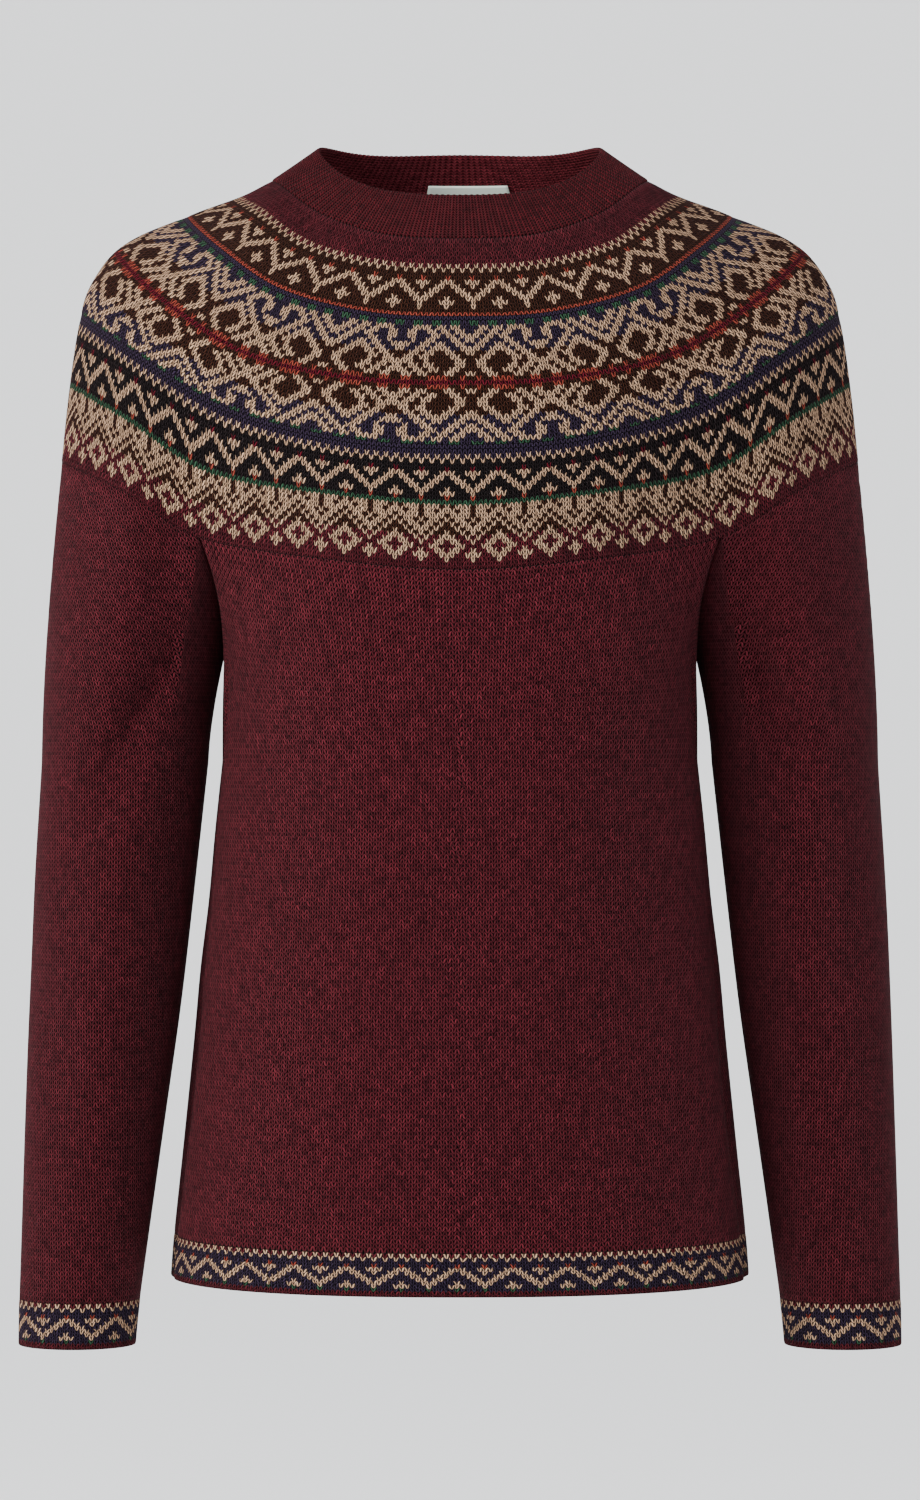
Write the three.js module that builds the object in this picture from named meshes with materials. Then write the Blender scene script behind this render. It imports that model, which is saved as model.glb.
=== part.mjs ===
import * as THREE from 'three';

// A fair isle jumper with a round yoke, in the shape it has when worn, with nobody in it.
// Millimetres, +Z up, the front faces -Y and the wearer's left is +X.
// The origin lies level with the neck points of the shoulders, midway between them.
const wall = 2;
const seamGap = 0.3;
const ribCount = 156;
const ribHeight = 0.8;
const bandHeight = 24;
const cuffHeight = 26;
const hemDrop = 616.5;
const cuffDrop = 655;
const colours = { burgundy: 0x5a2029, yokePattern: 0x8d7a66, bandPattern: 0x2a2533, label: 0xb9c4b8 };

// The collar's top edge is an oval that rises to the back and, a little, to the sides.
const collar = { halfWidth: 80.6, halfDepth: 62, level: 15.3, riseToBack: 19.3, riseToSides: 14.2 };

// Half rings of the yoke, each from the middle of the front round the left arm to the middle
// of the back. down is the share of the way from the neck seam to the underarm.
const yokeRings = [
  { down: 0, frontCentre: [0, -82, -31], frontQuarter: [42, -76, -28], frontFold: [77, -58, -15],
    armFront: [100.7, -31, 4], armSide: [108, 0, 11], armBack: [100.7, 30, 10.5],
    backFold: [77, 55, 8.8], backQuarter: [42, 72, 6.8], backCentre: [0, 78, 6] },
  { down: 0.066, frontCentre: [0, -87.5, -43.5], frontQuarter: [44, -82, -40.5], frontFold: [83, -64, -28],
    armFront: [110, -37, -7], armSide: [122, 1, 3.8], armBack: [110, 35, 2.5],
    backFold: [84, 61, -1], backQuarter: [44, 78, -6], backCentre: [0, 84, -7.5] },
  { down: 0.228, frontCentre: [0, -97, -73], frontQuarter: [50, -92, -70], frontFold: [98, -77, -56],
    armFront: [132, -47, -31], armSide: [153.5, 2, -8], armBack: [134, 45, -13],
    backFold: [100, 75, -24], backQuarter: [52, 92, -36], backCentre: [0, 96, -39] },
  { down: 0.444, frontCentre: [0, -106, -113], frontQuarter: [58, -101, -110], frontFold: [118, -80, -95],
    armFront: [168, -46, -61], armSide: [197.5, 1, -29], armBack: [171, 50, -42],
    backFold: [122, 83, -66], backQuarter: [60, 102, -80], backCentre: [0, 105, -84] },
  { down: 0.555, frontCentre: [0, -110, -134], frontQuarter: [62, -103, -130], frontFold: [126, -79, -113],
    armFront: [180, -49, -79], armSide: [213, 0, -50.5], armBack: [183, 52, -64],
    backFold: [130, 83, -90], backQuarter: [64, 105, -104], backCentre: [0, 107, -107.5] },
  { down: 0.66, frontCentre: [0, -113, -154], frontQuarter: [66, -104, -149], frontFold: [133, -77, -130],
    armFront: [186, -50, -96], armSide: [218.8, 0, -71.5], armBack: [188, 53, -86],
    backFold: [136, 80, -113], backQuarter: [67, 105, -126], backCentre: [0, 108, -130] },
  { down: 0.82, frontCentre: [0, -117, -183], frontQuarter: [69, -106, -177], frontFold: [140, -71, -163],
    armFront: [187, -54, -133], armSide: [224.5, 0, -109.5], armBack: [188, 56, -124],
    backFold: [141, 74, -149], backQuarter: [70, 103, -160], backCentre: [0, 107, -164] },
  { down: 1, frontCentre: [0, -120, -217], frontQuarter: [71, -107, -211], frontFold: [146, -64, -197],
    armFront: [187, -58, -172], armSide: [228.8, 0, -150.5], armBack: [188, 58, -167],
    backFold: [145, 66, -190], backQuarter: [72, 98, -200], backCentre: [0, 105, -203] },
];
const yokeLines = Object.keys(yokeRings[0]).slice(1);

// The underarm seam hangs from the front fold to the back fold of the yoke's last ring.
const underarm = { drop: 252, inset: 12.3 };

// Level sections of the body, drop below the origin. square is 2 on an oval, more on a boxier one.
const bodySections = [
  { drop: 322, halfWidth: 135.9, front: 124, back: 111, square: 2.55 },
  { drop: 361, halfWidth: 140.1, front: 124, back: 111, square: 2.45 },
  { drop: 402, halfWidth: 143.9, front: 122.5, back: 112, square: 2.4 },
  { drop: 440, halfWidth: 148.6, front: 121, back: 113, square: 2.35 },
  { drop: 479, halfWidth: 152.2, front: 120, back: 114, square: 2.3 },
  { drop: 545, halfWidth: 158.9, front: 119, back: 116, square: 2.3 },
  { drop: 598, halfWidth: 164.4, front: 119, back: 118, square: 2.3 },
  { drop: 617, halfWidth: 165.8, front: 119, back: 118, square: 2.3 },
];

// Level sections of the left sleeve. centreX and centreY place the middle of each oval.
const sleeveSections = [
  { drop: 322, centreX: 192.5, centreY: -1, halfWidth: 48, halfDepth: 55 },
  { drop: 391, centreX: 198.1, centreY: -4, halfWidth: 46.2, halfDepth: 51 },
  { drop: 460, centreX: 203.3, centreY: -7, halfWidth: 43.6, halfDepth: 46 },
  { drop: 529, centreX: 209.1, centreY: -10, halfWidth: 39.9, halfDepth: 40 },
  { drop: 598, centreX: 214.8, centreY: -13, halfWidth: 36.1, halfDepth: 34 },
  { drop: 632, centreX: 217.5, centreY: -15, halfWidth: 34.3, halfDepth: 31.5 },
  { drop: 658, centreX: 218.9, centreY: -16, halfWidth: 33.2, halfDepth: 30 },
];

// The turn of each sixteenth of half the body, and of each eighth of a sleeve, in degrees.
const bodyTurns = [0, 26, 70, 81, 90, 99, 110, 153, 180];
const sleeveTurns = [-130, -72, 0, 72, 130, 158, 180, 202, 230];

// The largest soft folds. around and drop place the middle and lean slants it.
const bodyFolds = [
  { around: 0.118, drop: 275, lean: -0.35, length: 70, width: 20, deep: 3.5 },
  { around: -0.115, drop: 285, lean: 0.3, length: 85, width: 22, deep: 4 },
  { around: 0.17, drop: 540, lean: 0.12, length: 110, width: 26, deep: 4 },
  { around: -0.178, drop: 520, lean: -0.08, length: 95, width: 22, deep: 3 },
  { around: 0.385, drop: 290, lean: 0.35, length: 85, width: 22, deep: 4 },
  { around: -0.38, drop: 280, lean: -0.3, length: 75, width: 20, deep: 3.5 },
  { around: 0.44, drop: 470, lean: 0.1, length: 100, width: 26, deep: 3 },
];
const leftSleeveFolds = [
  { around: 0.05, drop: 300, lean: 0.1, length: 75, width: 15, deep: 3.5 },
  { around: 0.14, drop: 410, lean: -0.2, length: 80, width: 16, deep: 2.5 },
  { around: 0.44, drop: 310, lean: -0.1, length: 80, width: 15, deep: 3.5 },
  { around: 0.36, drop: 440, lean: 0.2, length: 70, width: 15, deep: 2.5 },
];
const rightSleeveFolds = [
  { around: 0.06, drop: 290, lean: 0.15, length: 90, width: 16, deep: 4 },
  { around: 0.17, drop: 470, lean: -0.15, length: 60, width: 15, deep: 2 },
  { around: 0.45, drop: 330, lean: -0.15, length: 70, width: 16, deep: 3 },
  { around: 0.33, drop: 400, lean: 0.2, length: 75, width: 15, deep: 2.5 },
];
const bodyGirth = 820;
const sleeveGirth = 310;

// Below the yoke, a piece turns from its upper edge into a level section over this run. A higher
// haste brings it to the section's outline sooner.
const blendRun = 100;
const bodyHaste = 3;
const sleeveHaste = 1.5;
const blendDrop = bodySections[0].drop;
const hemStart = blendRun + hemDrop - bandHeight - blendDrop;
const cuffStart = blendRun + cuffDrop - cuffHeight - blendDrop;

const mix = (a, b, share) => a + (b - a) * share;
const span = (from, to, steps) => Array.from({ length: steps + 1 }, (_, i) => mix(from, to, i / steps));
const wrapped = (around) => ((around % 1) + 1) % 1;

// A smooth curve through the values that stand at the given stops.
function smoothAt(stops, values, at) {
  const last = stops.length - 1;
  let i = 0;
  while (i < last - 1 && at > stops[i + 1]) i += 1;
  const rise = (k) => (values[k + 1] - values[k]) / (stops[k + 1] - stops[k]);
  const slope = (k) => (rise(Math.max(k - 1, 0)) + rise(Math.min(k, last - 1))) / 2;
  const run = stops[i + 1] - stops[i];
  const t = (at - stops[i]) / run;
  const startShare = (1 + 2 * t) * (1 - t) ** 2;
  const bends = t * (1 - t) * run * ((1 - t) * slope(i) - t * slope(i + 1));
  return startShare * values[i] + (1 - startShare) * values[i + 1] + bends;
}

// One row worked out between the rows of a table of sections.
function sectionAt(sections, drop) {
  const stops = sections.map((row) => row.drop);
  const columns = Object.keys(sections[0]);
  return Object.fromEntries(columns.map((column) => (
    [column, smoothAt(stops, sections.map((row) => row[column]), drop)])));
}

// A closed curve through the nine points of a half ring and their mirror images.
function ringThrough(half) {
  const mirrored = half.slice(1, -1).reverse().map(([x, y, z]) => [-x, y, z]);
  const points = [...half, ...mirrored].map((point) => new THREE.Vector3(...point));
  return new THREE.CatmullRomCurve3(points, true, 'catmullrom', 0.5);
}

const yokeStops = yokeRings.map((ring) => ring.down);
const knownRings = new Map();

function yokePoint(around, down) {
  if (!knownRings.has(down)) {
    const half = yokeLines.map((line) => [0, 1, 2].map((axis) => (
      smoothAt(yokeStops, yokeRings.map((ring) => ring[line][axis]), down))));
    knownRings.set(down, ringThrough(half));
  }
  return knownRings.get(down).getPoint(wrapped(around));
}

function collarEdge(around) {
  const turn = 2 * Math.PI * around;
  const level = collar.level - collar.riseToBack * Math.cos(turn) + collar.riseToSides * Math.sin(turn) ** 4;
  return new THREE.Vector3(collar.halfWidth * Math.sin(turn), -collar.halfDepth * Math.cos(turn), level);
}

// The neckband and yoke as one surface: down is -1 at the collar's edge, 0 at the neck seam and
// 1 at the underarm. around is 0 at the middle of the front and 0.25 at the wearer's left.
const topSurface = {
  first: -1,
  last: 1,
  reach: 0.02,
  levelSeam: 1,
  point(around, down) {
    return down < 0 ? collarEdge(around).lerp(yokePoint(around, 0), 1 + down) : yokePoint(around, down);
  },
};

// The underarm seam, with share 0 at the front fold and 1 at the back fold.
function underarmPoint(share) {
  const aside = 2 * share - 1;
  const point = yokePoint(1 / 8, 1).lerp(yokePoint(3 / 8, 1), share);
  point.x -= underarm.inset * (1 - aside ** 4);
  point.z = mix(point.z, -underarm.drop, 1 - aside ** 2);
  return point;
}

// How far the soft folds move the cloth at a place on a tube.
function foldAt(folds, girth, around, drop) {
  return folds.reduce((sum, fold) => {
    const along = drop - fold.drop;
    const across = (around - fold.around) * girth - along * fold.lean;
    return sum - fold.deep * Math.exp(-((along / fold.length) ** 2) - (across / fold.width) ** 2);
  }, 0);
}

// Between a piece's upper edge and its first level section.
function settling(section, edge, edgeShare, haste) {
  const sideways = edgeShare ** haste;
  const level = mix(section.z, edge.z, edgeShare);
  return section.lerp(edge, sideways).setZ(level);
}

// Moves a point away from a middle line, or towards it where the distance is negative.
function pushed(point, middleX, middleY, distance) {
  const aside = new THREE.Vector3(point.x - middleX, point.y - middleY, 0);
  return point.addScaledVector(aside.normalize(), distance);
}

const rounded = (part, square) => Math.sign(part) * Math.abs(part) ** (2 / square);
const sixteenths = bodyTurns.map((_, i) => i / 16);
const eighths = sleeveTurns.map((_, i) => i / 8);

// A level section of the body. around is 0 in front, negative to the wearer's right, 0.5 behind.
function bodySection(around, drop) {
  const row = sectionAt(bodySections, drop);
  const turn = THREE.MathUtils.degToRad(smoothAt(sixteenths, bodyTurns, Math.abs(around)));
  const depth = Math.cos(turn) > 0 ? row.front : row.back;
  const x = Math.sign(around) * row.halfWidth * rounded(Math.sin(turn), row.square);
  return new THREE.Vector3(x, -depth * rounded(Math.cos(turn), row.square), -drop);
}

// The body's upper edge follows the yoke in front and behind, and the underarm seams between.
function bodyEdge(around) {
  const share = (Math.abs(around) - 1 / 8) * 4;
  if (share < 0 || share > 1) return yokePoint(around, 1);
  const point = underarmPoint(share);
  point.x = Math.sign(around) * (point.x - seamGap / 2);
  return point;
}

// down is the length from the upper edge, measured where the sections are level.
const bodySurface = {
  first: 0,
  last: hemStart + bandHeight,
  reach: 2,
  levelSeam: 0,
  point(turned, down) {
    const around = turned > 0.5 ? turned - 1 : turned;
    const edgeShare = Math.max(0, 1 - down / blendRun);
    const drop = blendDrop + Math.max(0, down - blendRun);
    const point = settling(bodySection(around, drop), bodyEdge(around), edgeShare, bodyHaste);
    return pushed(point, 0, 0, (1 - edgeShare) * foldAt(bodyFolds, bodyGirth, around, -point.z));
  },
};

// A level section of the left sleeve. around is 0 at the front fold, 0.25 outside, 0.5 at the back.
function sleeveSection(around, row) {
  const turn = THREE.MathUtils.degToRad(smoothAt(eighths, sleeveTurns, wrapped(around)));
  const x = row.centreX + row.halfWidth * Math.cos(turn);
  return new THREE.Vector3(x, row.centreY + row.halfDepth * Math.sin(turn), -row.drop);
}

function sleeveEdge(around) {
  const place = wrapped(around);
  if (place > 0 && place < 0.5) return yokePoint(1 / 8 + place / 2, 1);
  const point = underarmPoint(wrapped(-place) * 2);
  point.x += seamGap / 2;
  return point;
}

function sleeveSurface(folds) {
  return {
    first: 0,
    last: cuffStart + cuffHeight,
    reach: 2,
    levelSeam: 0,
    point(around, down) {
      const edgeShare = Math.max(0, 1 - down / blendRun);
      const row = sectionAt(sleeveSections, blendDrop + Math.max(0, down - blendRun));
      const point = settling(sleeveSection(around, row), sleeveEdge(around), edgeShare, sleeveHaste);
      const push = (1 - edgeShare) * foldAt(folds, sleeveGirth, wrapped(around), -point.z);
      return pushed(point, row.centreX, row.centreY, push);
    },
  };
}

// A place on a surface: its point, the direction down the cloth and the direction out of it.
function frameAt(surface, around, down) {
  const sideReach = 0.003;
  const along = surface.point(around + sideReach, down).sub(surface.point(around - sideReach, down));
  const below = surface.point(around, Math.min(down + surface.reach, surface.last));
  const fall = below.sub(surface.point(around, Math.max(down - surface.reach, surface.first))).normalize();
  if (down === surface.levelSeam) fall.set(0, 0, -1);
  return { point: surface.point(around, down), fall, out: fall.clone().cross(along).normalize() };
}

// A closed wall from rows of outer and inner points. Rows run down the cloth, and each row runs
// counterclockwise seen from above.
function wallGeometry(outer, inner, closed) {
  const rows = outer.length;
  const columns = outer[0].length;
  const positions = [...outer, ...inner].flat().flatMap((point) => point.toArray());
  const faces = [];
  const outside = (row, column) => row * columns + (column % columns);
  const inside = (row, column) => rows * columns + outside(row, column);
  const quad = (a, b, c, d) => faces.push(a, b, c, a, c, d);
  const end = rows - 1;
  const side = columns - 1;
  for (let column = 0; column < (closed ? columns : side); column += 1) {
    const next = column + 1;
    for (let row = 0; row < end; row += 1) {
      quad(outside(row, column), outside(row + 1, column), outside(row + 1, next), outside(row, next));
      quad(inside(row, column), inside(row, next), inside(row + 1, next), inside(row + 1, column));
    }
    quad(outside(0, column), outside(0, next), inside(0, next), inside(0, column));
    quad(outside(end, column), inside(end, column), inside(end, next), outside(end, next));
  }
  for (let row = 0; row < end && !closed; row += 1) {
    quad(outside(row, 0), inside(row, 0), inside(row + 1, 0), outside(row + 1, 0));
    quad(outside(row, side), outside(row + 1, side), inside(row + 1, side), inside(row, side));
  }
  const geometry = new THREE.BufferGeometry();
  geometry.setAttribute('position', new THREE.Float32BufferAttribute(positions, 3));
  geometry.setIndex(faces);
  geometry.computeVertexNormals();
  return geometry;
}

const mirrorRows = (rows) => rows.map((row) => (
  row.map((point) => new THREE.Vector3(-point.x, point.y, point.z)).reverse()));

// A piece of cloth on a surface, from the first of its stops to the last. Its edges stand back by
// half the seam gap where seams names them. raise gives each column's height above the surface,
// inner is the height of the inside, and sides moves the two side edges of an open panel.
function clothPiece(name, color, surface, columns, stops, options) {
  const { closed, seams = [], raise = () => 0, inner = -wall, sides, mirror } = options;
  const frames = stops.map((stop) => columns.map((around) => frameAt(surface, around, stop)));
  const setBack = (row, amount) => row.forEach(({ point, fall }) => point.addScaledVector(fall, amount));
  if (seams.includes('top')) setBack(frames[0], seamGap / 2);
  if (seams.includes('bottom')) setBack(frames[frames.length - 1], -seamGap / 2);
  if (sides) frames.forEach((row) => sides(row[0].point, row[row.length - 1].point));
  const at = (height) => frames.map((row) => row.map(({ point, out }, column) => (
    point.clone().addScaledVector(out, height(column)))));
  const faces = [at(raise), at(() => inner)].map((rows) => (mirror ? mirrorRows(rows) : rows));
  const material = new THREE.MeshStandardMaterial({ color, roughness: 0.95, metalness: 0 });
  const mesh = new THREE.Mesh(wallGeometry(...faces, closed), material);
  mesh.name = name;
  return mesh;
}

// The yoke, the body and the sleeves share their columns, so that their edges meet point to point.
const ringColumns = 64;
const around = span(0, 1, ringColumns).slice(0, -1);
const sleeveAround = span(0, 1, ringColumns / 2).slice(0, -1);
const ribSides = span(0, 1, ribCount * 2).slice(0, -1);

const neckband = clothPiece('neckband', colours.burgundy, topSurface, ribSides, span(-1, 0, 2), {
  closed: true, seams: ['bottom'], raise: (column) => (column % 2 === 0 ? ribHeight : 0),
});
const yoke = clothPiece('yoke', colours.yokePattern, topSurface, around, span(0, 1, 16), {
  closed: true, seams: ['top', 'bottom'],
});

// The front and back panels stop short of the side seams, which lie in the plane y = 0.
const bodyStops = [0, 12, 28, 48, 72, 100, 150, 200, 250, 300, 335, hemStart];
const sideSeams = (towards) => (first, last) => {
  first.y = towards * seamGap / 2;
  last.y = towards * seamGap / 2;
};
const frontAround = span(-0.25, 0.25, ringColumns / 2);
const backAround = span(0.25, 0.75, ringColumns / 2);
const front = clothPiece('front', colours.burgundy, bodySurface, frontAround, bodyStops, {
  seams: ['top', 'bottom'], sides: sideSeams(-1),
});
const back = clothPiece('back', colours.burgundy, bodySurface, backAround, bodyStops, {
  seams: ['top', 'bottom'], sides: sideSeams(1),
});
const hemStops = span(hemStart, hemStart + bandHeight, 2);
const hemBand = clothPiece('hem_band', colours.bandPattern, bodySurface, around, hemStops, {
  closed: true, seams: ['top'],
});

const sleeveStops = [0, 15, 35, 60, 80, 100, 150, 200, 250, 300, 355, cuffStart];
const cuffStops = span(cuffStart, cuffStart + cuffHeight, 2);
const sleeves = [
  { side: 'left', folds: leftSleeveFolds, mirror: false },
  { side: 'right', folds: rightSleeveFolds, mirror: true },
].flatMap(({ side, folds, mirror }) => {
  const surface = sleeveSurface(folds);
  return [
    clothPiece(`sleeve_${side}`, colours.burgundy, surface, sleeveAround, sleeveStops, {
      closed: true, seams: ['top', 'bottom'], mirror,
    }),
    clothPiece(`cuff_${side}`, colours.bandPattern, surface, sleeveAround, cuffStops, {
      closed: true, seams: ['top'], mirror,
    }),
  ];
});

// The label lies on the inside of the back neck, over the seam, clear of the cloth by a seam gap.
const labelPlace = { middle: 0.492, halfTurn: 0.039, topEdge: -0.42, bottomEdge: 0.06, thickness: 0.8 };
const { middle, halfTurn, topEdge, bottomEdge, thickness } = labelPlace;
const labelColumns = span(middle - halfTurn, middle + halfTurn, 8);
const label = clothPiece('label', colours.label, topSurface, labelColumns, span(topEdge, bottomEdge, 4), {
  raise: () => -wall - seamGap, inner: -wall - seamGap - thickness,
});

const group = new THREE.Group();
group.add(neckband, yoke, front, back, hemBand, ...sleeves, label);

export default group;
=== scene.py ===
import math

import bmesh
import bpy
import numpy as np
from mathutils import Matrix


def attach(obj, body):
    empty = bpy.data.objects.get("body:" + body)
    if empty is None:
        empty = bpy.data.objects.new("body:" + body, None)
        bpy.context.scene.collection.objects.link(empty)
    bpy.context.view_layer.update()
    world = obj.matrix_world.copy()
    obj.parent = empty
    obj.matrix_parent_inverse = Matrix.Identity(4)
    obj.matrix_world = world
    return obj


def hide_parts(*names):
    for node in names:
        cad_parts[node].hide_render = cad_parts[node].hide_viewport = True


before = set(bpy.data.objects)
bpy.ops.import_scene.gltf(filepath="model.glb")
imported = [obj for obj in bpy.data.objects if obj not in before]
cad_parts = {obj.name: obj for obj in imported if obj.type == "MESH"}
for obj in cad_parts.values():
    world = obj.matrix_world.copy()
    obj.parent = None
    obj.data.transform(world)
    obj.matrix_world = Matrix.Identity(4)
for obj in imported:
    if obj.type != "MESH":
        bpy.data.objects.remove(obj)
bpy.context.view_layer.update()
print("frame loaded")

# The jumper's form is the CAD's, from the same tables, in millimetres until a mesh is filled.
metre = 0.001
wall = 2.0
collar = {"halfWidth": 80.6, "halfDepth": 62, "level": 15.3, "riseToBack": 19.3, "riseToSides": 14.2}
underarm = {"drop": 252, "inset": 12.3}
bodyGirth = 820
sleeveGirth = 310
blendRun = 100
blendDrop = 322
bodyHaste = 3
sleeveHaste = 1.5
seamHalf = 0.15
hemStart = 370.5
hemEnd = 394.5
cuffStart = 407
cuffEnd = 433

# Half rings of the yoke from the front centre round the left arm to the back centre, with the share
# of the way down first.
yokeRings = [
    [0, (0, -82, -31), (42, -76, -28), (77, -58, -15), (100.7, -31, 4), (108, 0, 11), (100.7, 30, 10.5),
     (77, 55, 8.8), (42, 72, 6.8), (0, 78, 6)],
    [0.066, (0, -87.5, -43.5), (44, -82, -40.5), (83, -64, -28), (110, -37, -7), (122, 1, 3.8),
     (110, 35, 2.5), (84, 61, -1), (44, 78, -6), (0, 84, -7.5)],
    [0.228, (0, -97, -73), (50, -92, -70), (98, -77, -56), (132, -47, -31), (153.5, 2, -8), (134, 45, -13),
     (100, 75, -24), (52, 92, -36), (0, 96, -39)],
    [0.444, (0, -106, -113), (58, -101, -110), (118, -80, -95), (168, -46, -61), (197.5, 1, -29),
     (171, 50, -42), (122, 83, -66), (60, 102, -80), (0, 105, -84)],
    [0.555, (0, -110, -134), (62, -103, -130), (126, -79, -113), (180, -49, -79), (213, 0, -50.5),
     (183, 52, -64), (130, 83, -90), (64, 105, -104), (0, 107, -107.5)],
    [0.66, (0, -113, -154), (66, -104, -149), (133, -77, -130), (186, -50, -96), (218.8, 0, -71.5),
     (188, 53, -86), (136, 80, -113), (67, 105, -126), (0, 108, -130)],
    [0.82, (0, -117, -183), (69, -106, -177), (140, -71, -163), (187, -54, -133), (224.5, 0, -109.5),
     (188, 56, -124), (141, 74, -149), (70, 103, -160), (0, 107, -164)],
    [1, (0, -120, -217), (71, -107, -211), (146, -64, -197), (187, -58, -172), (228.8, 0, -150.5),
     (188, 58, -167), (145, 66, -190), (72, 98, -200), (0, 105, -203)],
]
# Body: drop, half width, front, back, squareness. Sleeve: drop, centre x and y, half width and depth.
bodySections = [(322, 135.9, 124, 111, 2.55), (361, 140.1, 124, 111, 2.45), (402, 143.9, 122.5, 112, 2.4),
                (440, 148.6, 121, 113, 2.35), (479, 152.2, 120, 114, 2.3), (545, 158.9, 119, 116, 2.3),
                (598, 164.4, 119, 118, 2.3), (617, 165.8, 119, 118, 2.3)]
sleeveSections = [(322, 192.5, -1, 48, 55), (391, 198.1, -4, 46.2, 51), (460, 203.3, -7, 43.6, 46),
                  (529, 209.1, -10, 39.9, 40), (598, 214.8, -13, 36.1, 34), (632, 217.5, -15, 34.3, 31.5),
                  (658, 218.9, -16, 33.2, 30)]
bodyTurns = [0, 26, 70, 81, 90, 99, 110, 153, 180]
sleeveTurns = [-130, -72, 0, 72, 130, 158, 180, 202, 230]

# Soft folds: place around, drop, lean, length, width and depth.
bodyFolds = [(0.118, 275, -0.35, 70, 20, 3.5), (-0.115, 285, 0.3, 85, 22, 4), (0.17, 540, 0.12, 110, 26, 4),
             (-0.178, 520, -0.08, 95, 22, 3), (0.385, 290, 0.35, 85, 22, 4), (-0.38, 280, -0.3, 75, 20, 3.5),
             (0.44, 470, 0.1, 100, 26, 3)]
leftSleeveFolds = [(0.05, 300, 0.1, 75, 15, 3.5), (0.14, 410, -0.2, 80, 16, 2.5),
                   (0.44, 310, -0.1, 80, 15, 3.5), (0.36, 440, 0.2, 70, 15, 2.5)]
rightSleeveFolds = [(0.06, 290, 0.15, 90, 16, 4), (0.17, 470, -0.15, 60, 15, 2),
                    (0.45, 330, -0.15, 70, 16, 3), (0.33, 400, 0.2, 75, 15, 2.5)]
# Small creases that run out from the underarms and round the elbows.
bodyCreases = [
    (-0.172, 262, -0.25, 34, 6, 3), (-0.198, 306, -0.1, 42, 7, 2.8), (-0.15, 292, -0.4, 30, 6, 2),
    (0.176, 270, 0.3, 38, 6.5, 3.1), (0.203, 312, 0.12, 36, 6, 2.4), (0.146, 286, 0.45, 28, 6, 1.8),
    (-0.33, 272, -0.3, 36, 7, 1.8), (-0.3, 318, -0.1, 40, 7, 1.5), (0.32, 285, 0.25, 42, 7, 1.9)]
leftSleeveCreases = [
    (0.02, 262, 0.4, 36, 6.5, 3.4), (0.06, 292, 0.5, 44, 7, 2.9), (0.09, 336, 0.4, 34, 7, 1.9),
    (0.13, 452, -0.5, 30, 8, 1.3), (0.47, 280, -0.4, 38, 7, 1.9), (0.4, 460, 0.4, 32, 8, 1.3)]
rightSleeveCreases = [
    (0.015, 268, 0.45, 40, 7, 3.5), (0.07, 300, 0.4, 38, 6.5, 2.6), (0.1, 348, 0.5, 40, 7, 1.8),
    (0.12, 430, -0.4, 34, 8, 1.4), (0.48, 290, -0.35, 34, 7, 1.7), (0.41, 444, 0.45, 30, 8, 1.2)]


def mix(start, end, share):
    return start + (end - start) * share


def smoothAt(stops, values, at):
    stops = np.asarray(stops, float)
    values = np.asarray(values, float).reshape(len(stops), -1)
    rises = np.diff(values, axis=0) / np.diff(stops)[:, None]
    slopes = (np.vstack([rises[:1], rises]) + np.vstack([rises, rises[-1:]])) / 2
    i = np.clip(np.searchsorted(stops, at) - 1, 0, len(stops) - 2)
    run = (stops[i + 1] - stops[i])[:, None]
    t = (at - stops[i])[:, None] / run
    startShare = (1 + 2 * t) * (1 - t) ** 2
    bends = t * (1 - t) * run * ((1 - t) * slopes[i] - t * slopes[i + 1])
    return startShare * values[i] + (1 - startShare) * values[i + 1] + bends


yokeStops = [ring[0] for ring in yokeRings]
yokeValues = [ring[1:] for ring in yokeRings]


def yokePoint(around, down):
    half = smoothAt(yokeStops, yokeValues, down).reshape(-1, 9, 3)
    ring = np.concatenate([half, half[:, 7:0:-1] * [-1, 1, 1]], axis=1)
    place = np.mod(around, 1) * 16
    i = np.floor(place).astype(int)
    t = (place - i)[:, None]
    each = np.arange(len(i))
    before, start, end, after = (ring[each, (i + step) % 16] for step in (-1, 0, 1, 2))
    leave, reach = (end - before) / 2, (after - start) / 2
    return (start + leave * t + (3 * (end - start) - 2 * leave - reach) * t ** 2
            + (2 * (start - end) + leave + reach) * t ** 3)


def topPoint(around, down):
    turn = 2 * np.pi * around
    level = collar["level"] - collar["riseToBack"] * np.cos(turn) + collar["riseToSides"] * np.sin(turn) ** 4
    edge = np.stack([collar["halfWidth"] * np.sin(turn), -collar["halfDepth"] * np.cos(turn), level], axis=1)
    ring = yokePoint(around, np.maximum(down, 0))
    return np.where((down < 0)[:, None], mix(edge, ring, (1 + down)[:, None]), ring)


def underarmPoint(share):
    aside = 2 * share - 1
    bottom = np.ones_like(share)
    front, back = yokePoint(bottom / 8, bottom), yokePoint(3 * bottom / 8, bottom)
    point = mix(front, back, share[:, None])
    point[:, 0] -= underarm["inset"] * (1 - aside ** 4)
    point[:, 2] = mix(point[:, 2], -underarm["drop"], 1 - aside ** 2)
    return point


def foldAt(folds, girth, around, drop):
    moved = np.zeros_like(drop)
    for middle, foldDrop, lean, length, width, deep in folds:
        along = drop - foldDrop
        across = (around - middle) * girth - along * lean
        moved -= deep * np.exp(-(along / length) ** 2 - (across / width) ** 2)
    return moved


def settled(section, edge, edgeShare, haste):
    point = mix(section, edge, (edgeShare ** haste)[:, None])
    point[:, 2] = mix(section[:, 2], edge[:, 2], edgeShare)
    return point


def pushed(point, middle, distance):
    aside = point[:, :2] - middle
    point[:, :2] += aside / np.linalg.norm(aside, axis=1)[:, None] * distance[:, None]
    return point


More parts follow.
